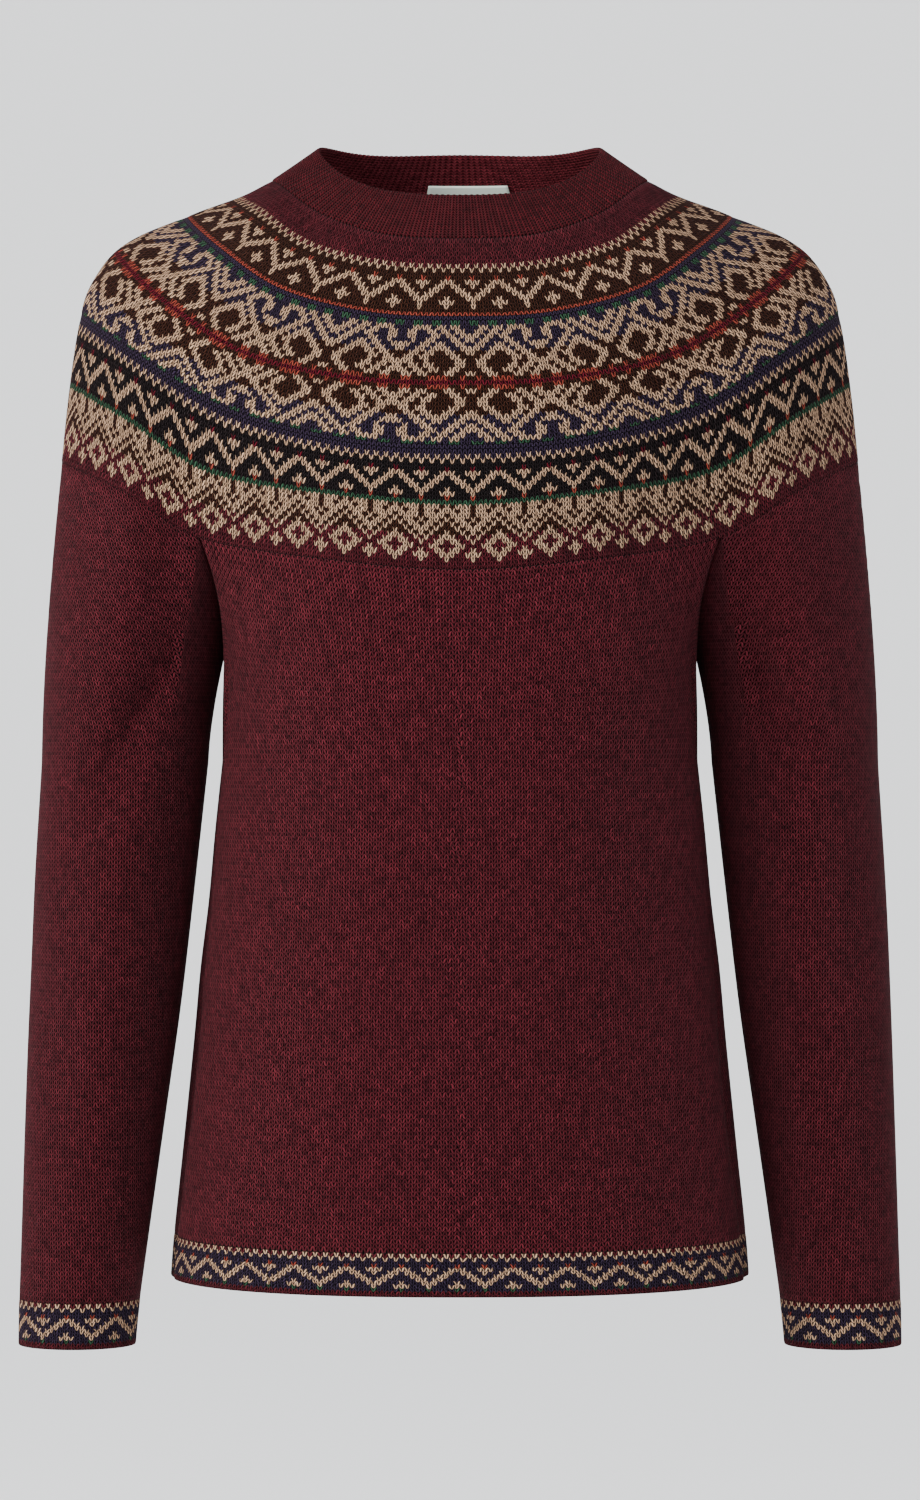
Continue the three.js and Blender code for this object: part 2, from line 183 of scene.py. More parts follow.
def bodyPoint(turned, down):
    around = np.where(turned > 0.5, turned - 1, turned)
    edgeShare = np.maximum(0, 1 - down / blendRun)
    drop = blendDrop + np.maximum(0, down - blendRun)
    table = np.array(bodySections)
    halfWidth, front, back, square = smoothAt(table[:, 0], table[:, 1:], drop).T
    turn = np.radians(smoothAt(np.arange(9) / 16, bodyTurns, np.abs(around))[:, 0])
    sine, cosine = np.sin(turn), np.cos(turn)
    x = np.sign(around) * halfWidth * np.abs(sine) ** (2 / square)
    y = -np.where(cosine > 0, front, back) * np.sign(cosine) * np.abs(cosine) ** (2 / square)
    section = np.stack([x, y, -drop], axis=1)
    share = (np.abs(around) - 1 / 8) * 4
    seam = underarmPoint(np.clip(share, 0, 1))
    seam[:, 0] = np.sign(around) * (seam[:, 0] - seamHalf)
    onSeam = ((share >= 0) & (share <= 1))[:, None]
    edge = np.where(onSeam, seam, yokePoint(around, np.ones_like(around)))
    point = settled(section, edge, edgeShare, bodyHaste)
    fold = foldAt(bodyFolds, bodyGirth, around, -point[:, 2])
    crease = foldAt(bodyCreases, bodyGirth, around, -point[:, 2])
    return pushed(point, np.zeros((1, 2)), (1 - edgeShare) * fold + (1 - edgeShare ** 6) * crease)


def sleevePoint(folds, creases, side):
    def point(turned, down):
        around = np.mod(turned, 1)
        edgeShare = np.maximum(0, 1 - down / blendRun)
        drop = blendDrop + np.maximum(0, down - blendRun)
        table = np.array(sleeveSections)
        centreX, centreY, halfWidth, halfDepth = smoothAt(table[:, 0], table[:, 1:], drop).T
        turn = np.radians(smoothAt(np.arange(9) / 8, sleeveTurns, around)[:, 0])
        x, y = centreX + halfWidth * np.cos(turn), centreY + halfDepth * np.sin(turn)
        section = np.stack([x, y, -drop], axis=1)
        seam = underarmPoint(np.mod(-around, 1) * 2 % 1)
        seam[:, 0] += seamHalf
        outside = ((around > 0) & (around < 0.5))[:, None]
        edge = np.where(outside, yokePoint(1 / 8 + around / 2, np.ones_like(around)), seam)
        moved = settled(section, edge, edgeShare, sleeveHaste)
        fold = foldAt(folds, sleeveGirth, around, -moved[:, 2])
        crease = foldAt(creases, sleeveGirth, around, -moved[:, 2])
        distance = (1 - edgeShare) * fold + (1 - edgeShare ** 6) * crease
        moved = pushed(moved, np.stack([centreX, centreY], axis=1), distance)
        return moved * [side, 1, 1]
    return point


surfaces = {
    "top": {"first": -1, "last": 1, "reach": 0.02, "levelSeam": 1, "point": topPoint, "side": 1},
    "body": {"first": 0, "last": hemEnd, "reach": 2, "levelSeam": 0, "point": bodyPoint, "side": 1},
    "sleeveLeft": {"first": 0, "last": cuffEnd, "reach": 2, "levelSeam": 0,
                   "point": sleevePoint(leftSleeveFolds, leftSleeveCreases, 1), "side": 1},
    "sleeveRight": {"first": 0, "last": cuffEnd, "reach": 2, "levelSeam": 0,
                    "point": sleevePoint(rightSleeveFolds, rightSleeveCreases, -1), "side": -1},
}


# Places along each row, evenly spaced by length, so that the stitches keep one width.
def evenlyAround(surface, first, last, steps, downs, samples=1200):
    dense = np.linspace(first, last, samples + 1)
    places = surface["point"](np.tile(dense, len(downs)), np.repeat(downs, samples + 1))
    lengths = np.linalg.norm(np.diff(places.reshape(len(downs), samples + 1, 3), axis=1), axis=2)
    travelled = np.hstack([np.zeros((len(downs), 1)), np.cumsum(lengths, axis=1)])
    return np.array([np.interp(np.linspace(0, run[-1], steps + 1), run, dense) for run in travelled])


# Share of the way round to a point's neighbours, which give its normal.
sideReach = 0.003


def pointsOn(surface, around, down, height):
    shape = around.shape
    around, down, height = around.ravel(), down.ravel(), height.ravel()
    at = surface["point"]
    along = at(around + sideReach, down) - at(around - sideReach, down)
    below = np.minimum(down + surface["reach"], surface["last"])
    above = np.maximum(down - surface["reach"], surface["first"])
    fall = at(around, below) - at(around, above)
    fall[down == surface["levelSeam"]] = (0, 0, -1)
    out = np.cross(fall, along) * surface["side"]
    out /= np.linalg.norm(out, axis=1)[:, None]
    return (at(around, down) + out * height[:, None]).reshape(*shape, 3) * metre


# A grid whose rows run down the cloth. Its UV counts stitches across and rows up from rowsBelow. There
# is one count of stitches for all rows, or one for each, told off from zeroAt of the width.
def addGrid(mesh, points, stitches, rows, rowsBelow=0, closed=True, material=0, zeroAt=0):
    rowCount, columnCount = points.shape[:2]
    counts = np.broadcast_to(stitches, rowCount)
    made = bmesh.ops.create_grid(
        mesh, x_segments=columnCount - 1, y_segments=rowCount - 1, size=0.5, calc_uvs=True)["verts"]
    for vert, place in zip(made, points[::-1].reshape(-1, 3)):
        vert.co = place
    uv = mesh.loops.layers.uv.verify()
    for face in {face for vert in made for face in vert.link_faces}:
        face.material_index = material
        face.smooth = True
        for loop in face.loops:
            across, up = loop[uv].uv
            count = counts[round((1 - up) * (rowCount - 1))]
            loop[uv].uv = ((across - zeroAt) * count, up * rows + rowsBelow)
    if not closed:
        return [], []
    ends = {made[row * columnCount + columnCount - 1]: made[row * columnCount] for row in range(rowCount)}
    bmesh.ops.weld_verts(mesh, targetmap=ends)
    bottom, top = made[:columnCount - 1], made[-columnCount:-1]
    return top, bottom


def ringEdges(ring):
    members = set(ring)
    return [edge for vert in ring for edge in vert.link_edges
            if edge.other_vert(vert) in members and edge.verts[0] is vert]


def finishMesh(name, mesh, materials):
    data = bpy.data.meshes.new(name)
    mesh.to_mesh(data)
    mesh.free()
    for material in materials:
        data.materials.append(material)
    piece = bpy.data.objects.new(name, data)
    bpy.context.scene.collection.objects.link(piece)
    return piece


def addModifier(piece, kind, **settings):
    modifier = piece.modifiers.new(kind.title(), kind)
    for setting, value in settings.items():
        setattr(modifier, setting, value)


def thicken(piece, thickness, inside=0):
    addModifier(piece, "SOLIDIFY", thickness=thickness * metre, offset=-1, use_even_offset=False,
                material_offset=inside, use_rim=True)


# Colours of the yarns by their letters in the charts: burgundy, beige, brown, navy, black, coral, green
# and deep red.
yarns = {"w": "38060f", "b": "be9a7d", "k": "341c12", "n": "2a2133", "x": "171415", "c": "8a3c30",
         "g": "2b4a36", "d": "58121f"}


def linear(hexColour):
    parts = [int(hexColour[i:i + 2], 16) / 255 for i in (0, 2, 4)]
    return tuple(part / 12.92 if part <= 0.04045 else ((part + 0.055) / 1.055) ** 2.4 for part in parts)


# Charts of the small traditional repeats. A dot is the row's ground colour.
zigzag = [
    "t....t....",
    "bb..bbb..b",
    ".bb..b..bb",
    "..bb...bb.",
    "...bb.bb..",
    "b...bbb...",
    "bb...b...b",
    "s....s....",
]
flecks = ["gg.."]
seedsAbove = ["b."]
seedsBelow = [".b"]
scrollHalf = [
    "..bb.bb.bbbb..",
    ".bb.bb.bb..bb.",
    "bb.bb.bb...bb.",
    "b.bb...bb..b..",
    ".bb..bb.bb..bb",
    "bb..bbbb.bb..b",
    "b..bb..bb.bb..",
    "..bb....bb.bb.",
    ".bb.....b..bbb",
    ".bb....bb.bb.b",
    "..bb..bb.bb.bb",
    "b..bb...bb.bb.",
]
brokenHalf = [".c..cccc...cc."]
lattice = [
    "bkbbbkbbbk",
    "bbkbbkbbkb",
    "kbbbbkbbbb",
    "bkbbkbkbbk",
    "kbkbbkbbkb",
    "kkbkbbbkbk",
    "bkkbkbkbkk",
]
diamonds = [
    "bb..b.b..b",
    ".bb..b..bb",
    "..bb...bb.",
    ".bb..b..bb",
    "bb..bbb..b",
    "b....b....",
    "..........",
    "..........",
]


# A row is its repeat, with the ground filled in, from one or two grounds down the motif.
def charted(motif, grounds, swaps=""):
    rows = []
    for place, row in enumerate(motif):
        ground = grounds[min(place * len(grounds) // len(motif), len(grounds) - 1)]
        for letter, yarn in zip(swaps[::2], swaps[1::2]):
            row = row.replace(letter, yarn)
        rows.append(row.replace(".", ground))
    return rows


# The half scroll and its mirror image make one repeat of 28 stitches.
def whole(motif):
    return [row + row[::-1] for row in motif]


scroll = whole(scrollHalf)
broken = whole(brokenHalf)
yokeBands = [
    {"stitches": 270, "shift": -3, "rows": ["w"] * 6 + charted(seedsAbove, "w") + charted(seedsBelow, "k")
     + ["k"] + charted(zigzag, "k", "tcsb") + ["k"] + ["c"]},
    {"stitches": 336, "shift": 2, "rows": charted(flecks, "n") + charted(scroll, "nk") + charted(broken, "k")
     + ["d"] + charted(broken, "k") + charted(scroll[::-1], "kn") + charted(flecks, "n")},
    {"stitches": 390, "shift": -3, "rows": ["n"] + charted(seedsAbove, "n") + charted(seedsBelow, "x") + ["x"]
     + charted(zigzag, "x", "tdsc") + ["g"] + charted(lattice, "k") + charted(diamonds, "w")},
]
bridgeYarn = "n"
bandRows = (charted(seedsAbove, "w") + charted(seedsBelow, "n") + ["n"] + charted(zigzag, "n", "tcsg")
            + ["w", "w"])


def addNode(tree, kind, settings=None, links=None):
    made = tree.nodes.new(kind)
    for name, value in (settings or {}).items():
        if isinstance(name, int) or name in made.inputs:
            made.inputs[name].default_value = value
        else:
            setattr(made, name, value)
    for name, source in (links or {}).items():
        tree.links.new(source, made.inputs[name])
    return made


def sums(tree, operation, *terms):
    settings, links = {"operation": operation}, {}
    for place, term in enumerate(terms):
        if isinstance(term, (int, float)):
            settings[place] = term
        else:
            links[place] = term
    return addNode(tree, "ShaderNodeMath", settings, links).outputs[0]


def blended(tree, share, start, end):
    settings, links = {"data_type": "RGBA", "blend_type": "MIX"}, {}
    for place, colour in ((6, start), (7, end)):
        if isinstance(colour, tuple):
            settings[place] = (*colour, 1)
        else:
            links[place] = colour
    links[0] = share
    return addNode(tree, "ShaderNodeMix", settings, links).outputs[2]


# Wool is matte, with a breath of dull red sheen from its fibres at the edges.
woolSurface = {"Roughness": 0.95, "Specular IOR Level": 0.04, "Sheen Weight": 0.04, "Sheen Roughness": 0.4,
               "Sheen Tint": (0.55, 0.3, 0.32, 1)}
knitLook = {"legTilt": 0.56, "endSharpness": 5.0, "marlAcross": 0.5, "rowJump": 7.31, "marlFrom": 0.15,
            "marlGain": 1.4, "marlShade": 0.2, "fibreScale": 1400.0, "fibreShade": 0.7, "fibreRelief": 0.25}


# Wool knit: each stitch is two slanted legs of yarn. Its colour is painted darker towards each leg's edges
# and in the gaps round the legs, as painted shade, down to the share of colour that each wool leaves in
# its gaps. U counts stitches and V rows. slant is how far a leg's outer end stands above its inner end, in
# rows, and lean is 1 where the legs part towards the top, -1 where they meet there. uneven is how much
# single legs differ.
def knitWool(name, colour=None, streak=None, slant=0.0, lean=1, bump=0.001, gapShade=0.06, half=0.4,
             uneven=0.3):
    material = bpy.data.materials.new(name)
    material.use_nodes = True
    tree = material.node_tree
    shader = tree.nodes["Principled BSDF"]
    uv = addNode(tree, "ShaderNodeUVMap", {"uv_map": "stitch"})
    parts = addNode(tree, "ShaderNodeSeparateXYZ", links={0: uv.outputs[0]})
    across, up = parts.outputs[0], parts.outputs[1]
    fromMiddle = sums(tree, "ABSOLUTE", sums(tree, "MULTIPLY_ADD", sums(tree, "FRACT", across), 2.0, -1.0))
    row = sums(tree, "SUBTRACT", up, sums(tree, "MULTIPLY", fromMiddle, slant))
    alongLeg = sums(tree, "FRACT", row)
    tilt = knitLook["legTilt"] * lean
    legLine = sums(tree, "MULTIPLY_ADD", alongLeg, tilt, 0.5 - tilt / 2)
    aside = sums(tree, "DIVIDE", sums(tree, "SUBTRACT", fromMiddle, legLine), half)
    sideways = sums(tree, "SUBTRACT", 1.0, sums(tree, "MULTIPLY", aside, aside))
    lengthways = sums(tree, "SUBTRACT", 1.0, sums(tree, "POWER", sums(
        tree, "ABSOLUTE", sums(tree, "MULTIPLY_ADD", alongLeg, 2.0, -1.0)), knitLook["endSharpness"]))
    height = sums(tree, "MULTIPLY", sums(tree, "MAXIMUM", sideways, 0.0), lengthways)
    rowNumber = sums(tree, "FLOOR", row)
    legNumber = sums(tree, "FLOOR", sums(tree, "MULTIPLY", across, 2.0))
    streaks = addNode(tree, "ShaderNodeCombineXYZ", links={
        0: sums(tree, "MULTIPLY", across, knitLook["marlAcross"]),
        1: sums(tree, "MULTIPLY", rowNumber, knitLook["rowJump"])})
    marl = addNode(tree, "ShaderNodeTexNoise", {"Scale": 1.0, "Detail": 2.0},
                   {"Vector": streaks.outputs[0]})
    each = addNode(tree, "ShaderNodeCombineXYZ", links={0: legNumber, 1: rowNumber})
    single = addNode(tree, "ShaderNodeTexWhiteNoise", {"noise_dimensions": "2D"},
                     {"Vector": each.outputs[0]})
    place = addNode(tree, "ShaderNodeTexCoord")
    fibres = addNode(tree, "ShaderNodeTexNoise", {"Scale": knitLook["fibreScale"], "Detail": 3.0},
                     {"Vector": place.outputs["Object"]})
    if colour:
        share = sums(tree, "SUBTRACT", marl.outputs[0], knitLook["marlFrom"])
        share = sums(tree, "MULTIPLY", share, knitLook["marlGain"])
        share = addNode(tree, "ShaderNodeClamp", links={0: share}).outputs[0]
        yarn = blended(tree, share, linear(colour), linear(streak))
    else:
        yarn = addNode(tree, "ShaderNodeAttribute", {"attribute_name": "yarn"}).outputs["Color"]
    shade = sums(tree, "MULTIPLY_ADD", single.outputs[0], uneven, 1 - uneven / 2)
    for noise, spread in ((marl, knitLook["marlShade"]), (fibres, knitLook["fibreShade"])):
        varied = sums(tree, "MULTIPLY_ADD", noise.outputs[0], spread, 1 - spread / 2)
        shade = sums(tree, "MULTIPLY", shade, varied)
    # Painted shade: the colour darkens from each leg's crown towards its edges and into the gaps between
    # legs.
    paintedLegShade = addNode(tree, "ShaderNodeMapRange",
                    {"interpolation_type": "SMOOTHSTEP", 1: 0.05, 2: 0.7, 3: gapShade, 4: 1.0}, {0: height})
    shade = sums(tree, "MULTIPLY", shade, paintedLegShade.outputs[0])
    shaded = addNode(tree, "ShaderNodeVectorMath", {"operation": "SCALE"}, {0: yarn, "Scale": shade})
    relief = sums(tree, "ADD", height, sums(tree, "MULTIPLY", fibres.outputs[0], knitLook["fibreRelief"]))
    bumped = addNode(tree, "ShaderNodeBump", {"Strength": 1.0, "Distance": bump}, {"Height": relief})
    tree.links.new(shaded.outputs[0], shader.inputs["Base Color"])
    tree.links.new(bumped.outputs[0], shader.inputs["Normal"])
    for setting, value in woolSurface.items():
        shader.inputs[setting].default_value = value
    return material


def plainMaterial(name, colour, settings):
    material = bpy.data.materials.new(name)
    material.use_nodes = True
    shader = material.node_tree.nodes["Principled BSDF"]
    shader.inputs["Base Color"].default_value = (*linear(colour), 1)
    for setting, value in settings.items():
        shader.inputs[setting].default_value = value
    return material


marlYarn = {"colour": "2f0d13", "streak": "5b1f27", "uneven": 0.55}
# Stranded wool in the charts' colours: matte, with thin lines of painted shade round every leg of a stitch.
patternWool = knitWool("stranded_wool", slant=0.0, gapShade=0.04, half=0.34)
# Marl wool: one burgundy yarn with brighter and darker plies, so the plain knit looks heathered. The
# sleeves get their stitches from shading alone, the panels and the charts from raised columns too.
burgundyWool = knitWool(
    "burgundy_marl_wool", slant=-0.5, lean=-1, bump=0.0009, gapShade=0.0, half=0.43, **marlYarn)
panelWool = knitWool(
    "burgundy_marl_wool_panels", slant=0.0, lean=-1, bump=0.0007, gapShade=0.0, half=0.43, **marlYarn)
chevronWool = knitWool("burgundy_marl_wool_in_pattern", slant=0.0, gapShade=0.02, half=0.4, **marlYarn)
# The wool's other side: flatter and softer, with faint rows.
purlSide = knitWool("wool_inside", slant=0.0, gapShade=0.45, **marlYarn)
# Rib wool: the same yarn knitted tighter. Its colours are painted darker outside than the body's yarn, as
# painted shade, and brighter and redder on the inside of the neck, as painted light: shaded and lit copies
# of one yarn.
ribWool = knitWool("burgundy_rib_wool", "29090d", "50161c", slant=-0.4, lean=-1, gapShade=0.0, half=0.44)
ribInsidePaintedLight = knitWool("rib_wool_inside_painted_light", "48131a", "80313a", slant=0.4, gapShade=0.2)
# Woven satin: pale and smooth, with a soft shine.
labelSatin = plainMaterial("label_satin", "b9c4b8", {"Roughness": 0.45, "Sheen Weight": 0.1})
print("materials made")


def setYarns(piece, yarnOf):
    data = piece.data
    uvs = np.empty(len(data.loops) * 2)
    data.uv_layers["stitch"].data.foreach_get("uv", uvs)
    corners = np.empty(len(data.polygons), int)
    starts = np.empty(len(data.polygons), int)
    data.polygons.foreach_get("loop_total", corners)
    data.polygons.foreach_get("loop_start", starts)
    middles = np.add.reduceat(uvs.reshape(-1, 2), starts, axis=0) / corners[:, None]
    letters = [yarnOf(across, up) for across, up in middles]
    layer = data.attributes.new("yarn", "FLOAT_COLOR", "FACE")
    layer.data.foreach_set("color", np.array([(*linear(yarns[letter]), 1) for letter in letters]).ravel())
    for face, letter in zip(data.polygons, letters):
        if letter == "w" and face.material_index == 0:
            face.material_index = 2


# Knit with its stitches in relief. Each stitch is two columns whose shared middle hangs slant of a row
# low, or stands high where slant is below 0, and each corner strays a little. The first and last rows'
# edges stay flat, so that joined pieces meet.
def chevronPoints(surface, stitches, downs, slant, ridge, first=0, last=1, stray=0.07):
    downs = np.asarray(downs, float)
    around = evenlyAround(surface, first, last, stitches * 2, downs)
    middle = np.arange(stitches * 2 + 1) % 2
    down = np.repeat(downs[:, None], stitches * 2 + 1, axis=1)
    chance = np.random.default_rng(stitches)
    wander = chance.normal(0, stray, (2, len(downs) - 2, stitches * 2))
    wander[:, :, 0] = 0
    wander = np.concatenate([wander, wander[:, :, :1]], axis=2)
    down[1:-1] += (middle * slant + wander[0]) * (downs[1] - downs[0])
    around[1:-1] += wander[1] * (last - first) / stitches
    height = np.tile(np.where(middle, ridge, -ridge), (len(downs), 1))
    height[[0, -1]] = 0
    return pointsOn(surface, around, down, height)


def emptyMesh():
    mesh = bmesh.new()
    mesh.loops.layers.uv.new("stitch")
    return mesh


yokeKnit = {"rows": 78, "slant": 0.55, "ridge": 0.22, "insideColumns": 128, "insideRows": 36}


def buildYoke():
    mesh = emptyMesh()
    surface = surfaces["top"]
    rowsDone = 0
    rings = []
    for band in yokeBands:
        rows = len(band["rows"])
        downs = np.arange(rowsDone, rowsDone + rows + 1) / yokeKnit["rows"]
        points = chevronPoints(surface, band["stitches"], downs, yokeKnit["slant"], yokeKnit["ridge"])
        band["top"] = rowsDone
        rings.append(addGrid(mesh, points, band["stitches"], rows, yokeKnit["rows"] - rowsDone - rows))
        rowsDone += rows + 1
    uv = mesh.loops.layers.uv.verify()
    for upper, lower, band in zip(rings, rings[1:], yokeBands[1:]):
        level = yokeKnit["rows"] - band["top"]
        made = bmesh.ops.bridge_loops(mesh, edges=ringEdges(upper[1]) + ringEdges(lower[0]))["faces"]
        upperPlace = {vert: i / len(upper[1]) for i, vert in enumerate(upper[1])}
        lowerPlace = {vert: i / len(lower[0]) for i, vert in enumerate(lower[0])}
        for face in made:
            face.smooth = True
            places = [upperPlace.get(loop.vert, lowerPlace.get(loop.vert)) for loop in face.loops]
            wraps = max(places) - min(places) > 0.5
            for loop, place in zip(face.loops, places):
                across = place + (1 if wraps and place < 0.5 else 0)
                loop[uv].uv = (across * band["stitches"], level + (loop.vert in upperPlace))
    insideDowns = np.linspace(0, 1, yokeKnit["insideRows"] + 1)
    around = evenlyAround(surface, 0, 1, yokeKnit["insideColumns"], insideDowns)
    down = np.repeat(insideDowns[:, None], yokeKnit["insideColumns"] + 1, axis=1)
    inside = pointsOn(surface, around, down, np.full(down.shape, -wall))
    linings = addGrid(mesh, inside, yokeBands[1]["stitches"], yokeKnit["rows"], material=1)
    bmesh.ops.bridge_loops(mesh, edges=ringEdges(rings[0][0]) + ringEdges(linings[0]))
    bmesh.ops.bridge_loops(mesh, edges=ringEdges(rings[-1][1]) + ringEdges(linings[1]))
    bmesh.ops.recalc_face_normals(mesh, faces=mesh.faces)
    piece = finishMesh("yoke_knit", mesh, [patternWool, purlSide, chevronWool])

    def yarnOf(across, up):
        row = yokeKnit["rows"] - 1 - int(min(max(up, 0), yokeKnit["rows"] - 0.01))
        for band in yokeBands:
            place = row - band["top"]
            if 0 <= place < len(band["rows"]):
                repeat = band["rows"][place]
                return repeat[(int(across) - band["shift"]) % len(repeat)]
        return bridgeYarn

    setYarns(piece, yarnOf)
    return piece


bandKnit = {"slant": 0.5, "ridge": 0.2, "hemStitches": 300, "hemShift": -1, "cuffStitches": 70,
            "cuffShift": 0}


# A patterned tube at the hem or a wrist, with its knitted edge at the bottom.
def buildBand(name, surface, start, end, stitches, shift, reverse=False):
    mesh = emptyMesh()
    rows = len(bandRows)
    downs = np.linspace(start, end, rows + 1)
    points = chevronPoints(surface, stitches, downs, bandKnit["slant"], bandKnit["ridge"])
    if reverse:
        points = points[:, ::-1]
    addGrid(mesh, points, stitches, rows)
    piece = finishMesh(name, mesh, [patternWool, purlSide, chevronWool])

    def yarnOf(across, up):
        repeat = bandRows[rows - 1 - int(up)]
        return repeat[(int(across) - shift) % len(repeat)]

    setYarns(piece, yarnOf)
    thicken(piece, wall, inside=1)
    return piece


stitchWidth = 3.08
bodyKnit = {"stitches": 142, "rows": 156, "slant": -0.5, "ridge": 0.16, "stray": 0.035}


# A plain front or back panel, with its stitches in relief.
def buildPanel(name, first, last):
    mesh = emptyMesh()
    downs = np.linspace(0, hemStart, bodyKnit["rows"] + 1)
    points = chevronPoints(surfaces["body"], bodyKnit["stitches"], downs, bodyKnit["slant"],
                           bodyKnit["ridge"], first, last, bodyKnit["stray"])
    addGrid(mesh, points, bodyKnit["stitches"], bodyKnit["rows"], closed=False)
    piece = finishMesh(name, mesh, [panelWool, purlSide])
    thicken(piece, wall, inside=1)
    return piece


# A sleeve's grid starts and ends at the underarm line. Its stitches keep one width, and its rows are
# level.
sleeveKnit = {"first": -0.25, "last": 0.75, "rowHeight": 2.45, "columns": 84, "steps": 100}


def buildSleeve(name, surface, reverse):
    mesh = emptyMesh()
    downs = np.linspace(0, cuffStart, sleeveKnit["steps"] + 1)
    around = evenlyAround(surface, sleeveKnit["first"], sleeveKnit["last"], sleeveKnit["columns"], downs)
    down = np.repeat(downs[:, None], sleeveKnit["columns"] + 1, axis=1)
    points = pointsOn(surface, around, down, np.zeros(down.shape))
    if reverse:
        points = points[:, ::-1]
    widths = np.linalg.norm(np.diff(points, axis=1), axis=2).sum(axis=1)
    addGrid(mesh, points, widths / (stitchWidth * metre), 1, zeroAt=0.5)
    uv = mesh.loops.layers.uv.verify()  # V by height, in place of V by the grid's rows
    for face in mesh.faces:
        for loop in face.loops:
            loop[uv].uv.y = loop.vert.co.z / (sleeveKnit["rowHeight"] * metre)
    piece = finishMesh(name, mesh, [burgundyWool, purlSide])
    thicken(piece, wall, inside=1)
    return piece


neckRib = {"ribs": 156, "columnsPerRib": 4, "steps": 12, "ribHeight": 0.8, "rows": 18}


def buildNeckband():
    mesh = emptyMesh()
    surface = surfaces["top"]
    columns = neckRib["ribs"] * neckRib["columnsPerRib"]
    downs = np.linspace(-1, 0, neckRib["steps"] + 1)
    across = np.linspace(0, 1, columns + 1) - 0.5 / neckRib["ribs"]
    around = np.repeat(across[None], len(downs), axis=0)
    down = np.repeat(downs[:, None], columns + 1, axis=1)
    phase = (np.arange(columns + 1) / neckRib["columnsPerRib"] - 0.5) * 2 * np.pi
    height = np.broadcast_to(neckRib["ribHeight"] * (0.5 + 0.5 * np.cos(phase)), down.shape)
    points = pointsOn(surface, around, down, height)
    addGrid(mesh, points, neckRib["ribs"], neckRib["rows"])
    # The band's inner faces take the rib wool that is painted brighter, as painted light inside the neck.
    piece = finishMesh("neckband_knit", mesh, [ribWool, ribInsidePaintedLight])
    thicken(piece, wall, inside=1)
    addModifier(piece, "SUBSURF", levels=1, render_levels=1)
    return piece


labelPlace = {"middle": 0.492, "halfTurn": 0.039, "top": -0.42, "bottom": 0.06, "in": -2.3, "thickness": 0.8,
              "columns": 24, "rows": 12, "threadsAcross": 40, "threadsUp": 20}


def buildLabel():
    mesh = emptyMesh()
    surface = surfaces["top"]
    first, last = labelPlace["middle"] - labelPlace["halfTurn"], labelPlace["middle"] + labelPlace["halfTurn"]
    around, down = np.meshgrid(
        np.linspace(first, last, labelPlace["columns"] + 1),
        np.linspace(labelPlace["top"], labelPlace["bottom"], labelPlace["rows"] + 1))
    points = pointsOn(surface, around, down, np.full(around.shape, labelPlace["in"]))
    addGrid(mesh, points, labelPlace["threadsAcross"], labelPlace["threadsUp"], closed=False)
    piece = finishMesh("label_cloth", mesh, [labelSatin])
    thicken(piece, labelPlace["thickness"])
    return piece


# Each sheet takes its solid's place: it hangs under the root body and its solid is hidden.
def settle(piece, node):
    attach(piece, "root")
    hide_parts(node)


neckbandPiece = buildNeckband()
yokePiece = buildYoke()
print("yoke and neckband knitted")
frontPiece = buildPanel("front_knit", -0.25, 0.25)
backPiece = buildPanel("back_knit", 0.25, 0.75)
hemPiece = buildBand(
    "hem_band_knit", surfaces["body"], hemStart, hemEnd, bandKnit["hemStitches"], bandKnit["hemShift"])
sleevePieces = []
cuffPieces = []
for side, key in (("left", "sleeveLeft"), ("right", "sleeveRight")):
    reverse = side == "right"
    sleevePieces.append(buildSleeve("sleeve_" + side + "_knit", surfaces[key], reverse))
    cuffPieces.append(buildBand("cuff_" + side + "_knit", surfaces[key], cuffStart, cuffEnd,
                                bandKnit["cuffStitches"], bandKnit["cuffShift"], reverse))
labelPiece = buildLabel()
print("plain pieces, bands and label made")

settle(neckbandPiece, "neckband")
settle(yokePiece, "yoke")
settle(frontPiece, "front")
settle(backPiece, "back")
settle(hemPiece, "hem_band")
for side, sleeve, cuff in zip(("left", "right"), sleevePieces, cuffPieces):
    settle(sleeve, "sleeve_" + side)
    settle(cuff, "cuff_" + side)
settle(labelPiece, "label")

# A pale round floor well below, which curves up into a low wall on all sides.
stageForm = {"floor": -1.05, "flat": 4.2, "bendRadius": 1.2, "top": 1.3, "bendSteps": 10, "turnSteps": 72}


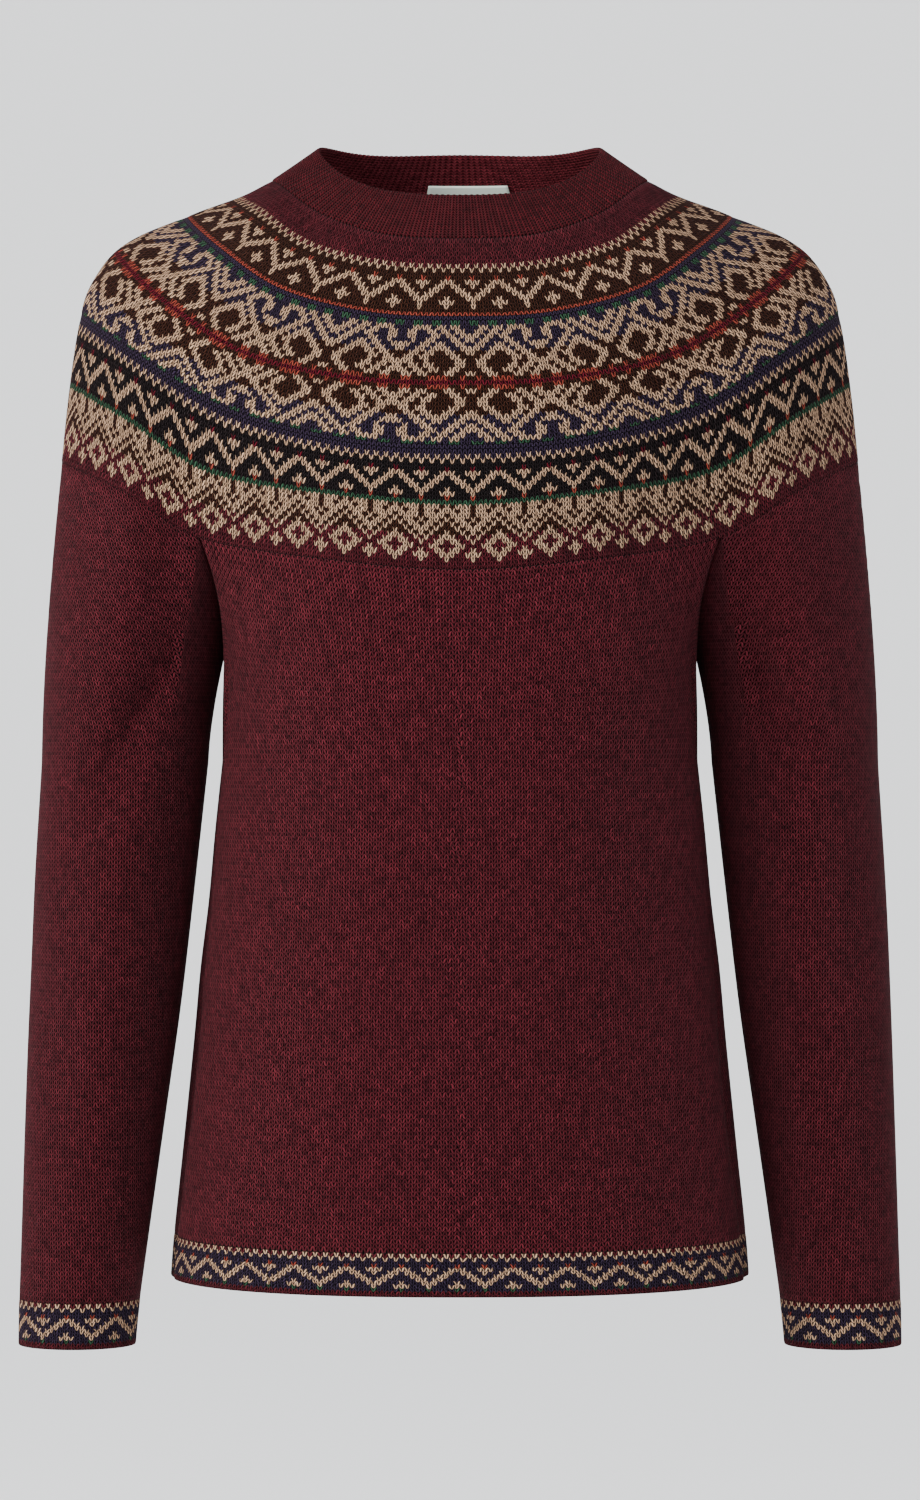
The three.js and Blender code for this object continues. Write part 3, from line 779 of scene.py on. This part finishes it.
def buildStage():
    mesh = bmesh.new()
    profile = [mesh.verts.new((0, 0, stageForm["floor"]))]
    for step in range(stageForm["bendSteps"] + 1):
        bend = step / stageForm["bendSteps"] * math.pi / 2
        out = stageForm["flat"] + stageForm["bendRadius"] * math.sin(bend)
        up = stageForm["floor"] + stageForm["bendRadius"] * (1 - math.cos(bend))
        profile.append(mesh.verts.new((out, 0, up)))
    profile.append(mesh.verts.new((stageForm["flat"] + stageForm["bendRadius"], 0, stageForm["top"])))
    edges = [mesh.edges.new(pair) for pair in zip(profile, profile[1:])]
    bmesh.ops.spin(mesh, geom=profile + edges, cent=(0, 0, 0), axis=(0, 0, 1), angle=2 * math.pi,
                   steps=stageForm["turnSteps"], use_merge=True)
    bmesh.ops.remove_doubles(mesh, verts=mesh.verts, dist=0.0001)
    bmesh.ops.recalc_face_normals(mesh, faces=mesh.faces)
    for face in mesh.faces:
        face.smooth = True
    return finishMesh("pale_sweep", mesh, [plainMaterial("pale_paper", "f7f7f6", {"Roughness": 0.9})])


buildStage()


# The key stands to the left as in the photo. Places and sizes are in metres, powers in watts.
studioLights = {
    "key_light": {"place": (-2.5, -1.5, 1.1), "size": 1.1, "power": 150, "colour": (1, 0.98, 0.95)},
    "fill_light": {"place": (0.1, -2.8, 0.6), "size": 0.9, "power": 18, "colour": (0.96, 0.98, 1)},
    "top_light": {"place": (0, -0.9, 1.5), "size": 0.8, "power": 24, "colour": (1, 1, 1)},
}
lightTarget = (0, 0, -0.3)
roomLight = {"Color": (0.93, 0.95, 1, 1), "Strength": 1.45}


def addLight(name, place, size, power, colour):
    data = bpy.data.lights.new(name, "AREA")
    data.shape = "DISK"
    data.size = size
    data.energy = power
    data.color = colour
    light = bpy.data.objects.new(name, data)
    light.location = place
    towards = np.array(lightTarget) - np.array(place)
    light.rotation_euler = (math.atan2(math.hypot(towards[0], towards[1]), -towards[2]), 0,
                            math.atan2(towards[1], towards[0]) - math.pi / 2)
    bpy.context.scene.collection.objects.link(light)


for lightName, settings in studioLights.items():
    addLight(lightName, **settings)
world = bpy.data.worlds.new("soft_room")
bpy.context.scene.world = world
world.use_nodes = True
for setting, value in roomLight.items():
    world.node_tree.nodes["Background"].inputs[setting].default_value = value

# The camera stands level with the photo's middle. Its focal length is in picture pixels.
photoView = {"sensor": 36, "focalPixels": 4522, "picturePixels": 1500, "place": (0, -2.6, -0.316)}
cameraData = bpy.data.cameras.new("photo_camera")
cameraData.lens = photoView["sensor"] * photoView["focalPixels"] / photoView["picturePixels"]
cameraData.sensor_width = photoView["sensor"]
camera = bpy.data.objects.new("photo_camera", cameraData)
camera.location = photoView["place"]
camera.rotation_euler = (math.pi / 2, 0, 0)
bpy.context.scene.collection.objects.link(camera)
bpy.context.scene.camera = camera
print("stage, light and camera set")
